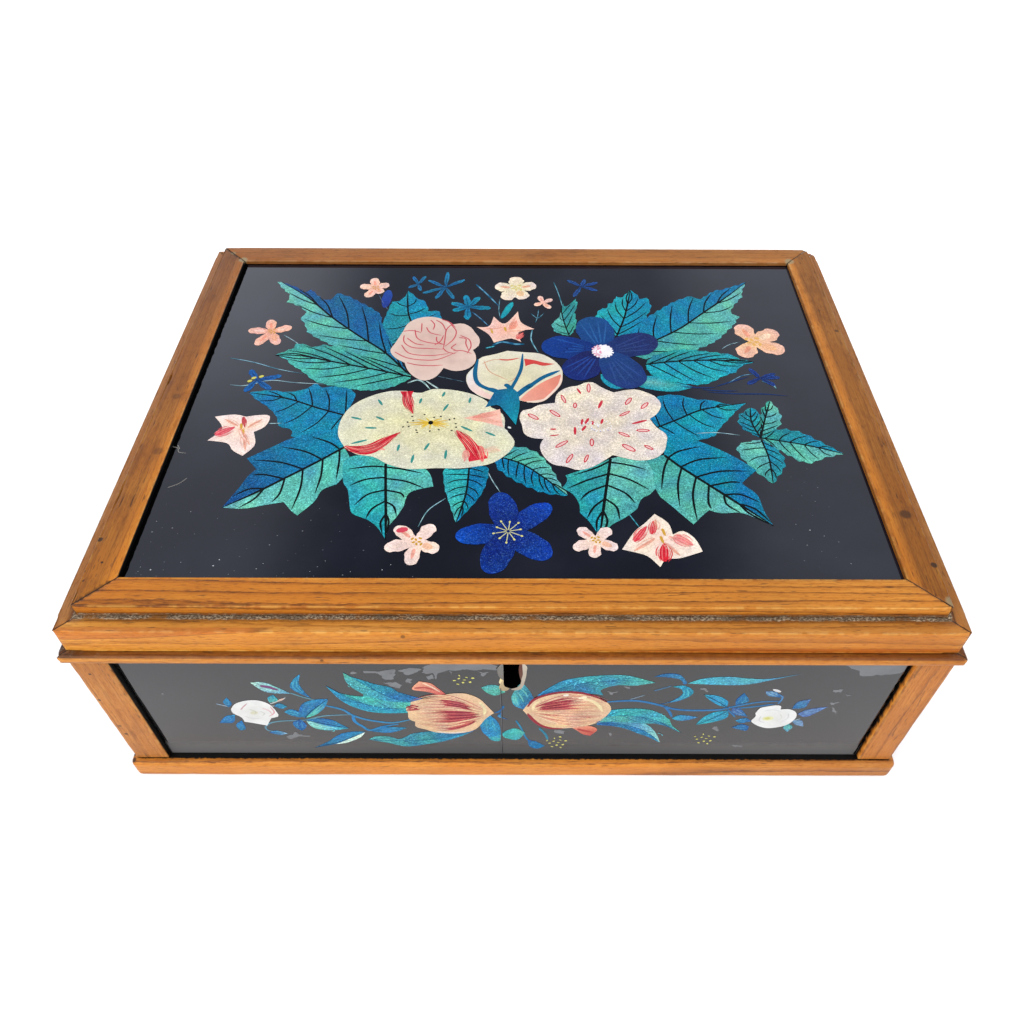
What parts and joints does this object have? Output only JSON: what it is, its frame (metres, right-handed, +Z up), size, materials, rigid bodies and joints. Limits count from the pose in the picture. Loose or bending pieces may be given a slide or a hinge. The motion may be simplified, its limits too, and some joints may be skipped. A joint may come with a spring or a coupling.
{
  "type": "trinket box",
  "caption": "Rectangular pine trinket box with painted glass panes set in the sides and in a lift-off lid, and a keyhole notch at the front.",
  "frame": {"origin": "middle of the underside of the base board", "axes": "+X along the front from left to right, +Y from the front to the back, +Z up"},
  "size_m": [0.3078, 0.2372, 0.1051],
  "materials": {
    "waxed_pine": "old wax, worn satin",
    "raw_pine": "unfinished, aged",
    "painted_glass": "polished glass painted black behind, with flowers over crumpled foil"
  },
  "bodies": {
    "root": {"top_rail_front": "waxed_pine", "top_rail_back": "waxed_pine", "top_rail_left": "waxed_pine", "top_rail_right": "waxed_pine", "top_glass": "painted_glass", "lid_board_front": "waxed_pine", "lid_board_back": "waxed_pine", "lid_board_left": "waxed_pine", "lid_board_right": "waxed_pine", "lid_backing": "raw_pine", "lip_front": "waxed_pine", "lip_back": "waxed_pine", "lip_left": "waxed_pine", "lip_right": "waxed_pine", "post_front_left": "waxed_pine", "post_front_right": "waxed_pine", "post_back_left": "waxed_pine", "post_back_right": "waxed_pine", "front_glass": "painted_glass", "back_glass": "painted_glass", "left_glass": "painted_glass", "right_glass": "painted_glass", "front_wall": "raw_pine", "back_wall": "raw_pine", "left_wall": "raw_pine", "right_wall": "raw_pine", "base_board": "waxed_pine"}
  },
  "joints": []
}
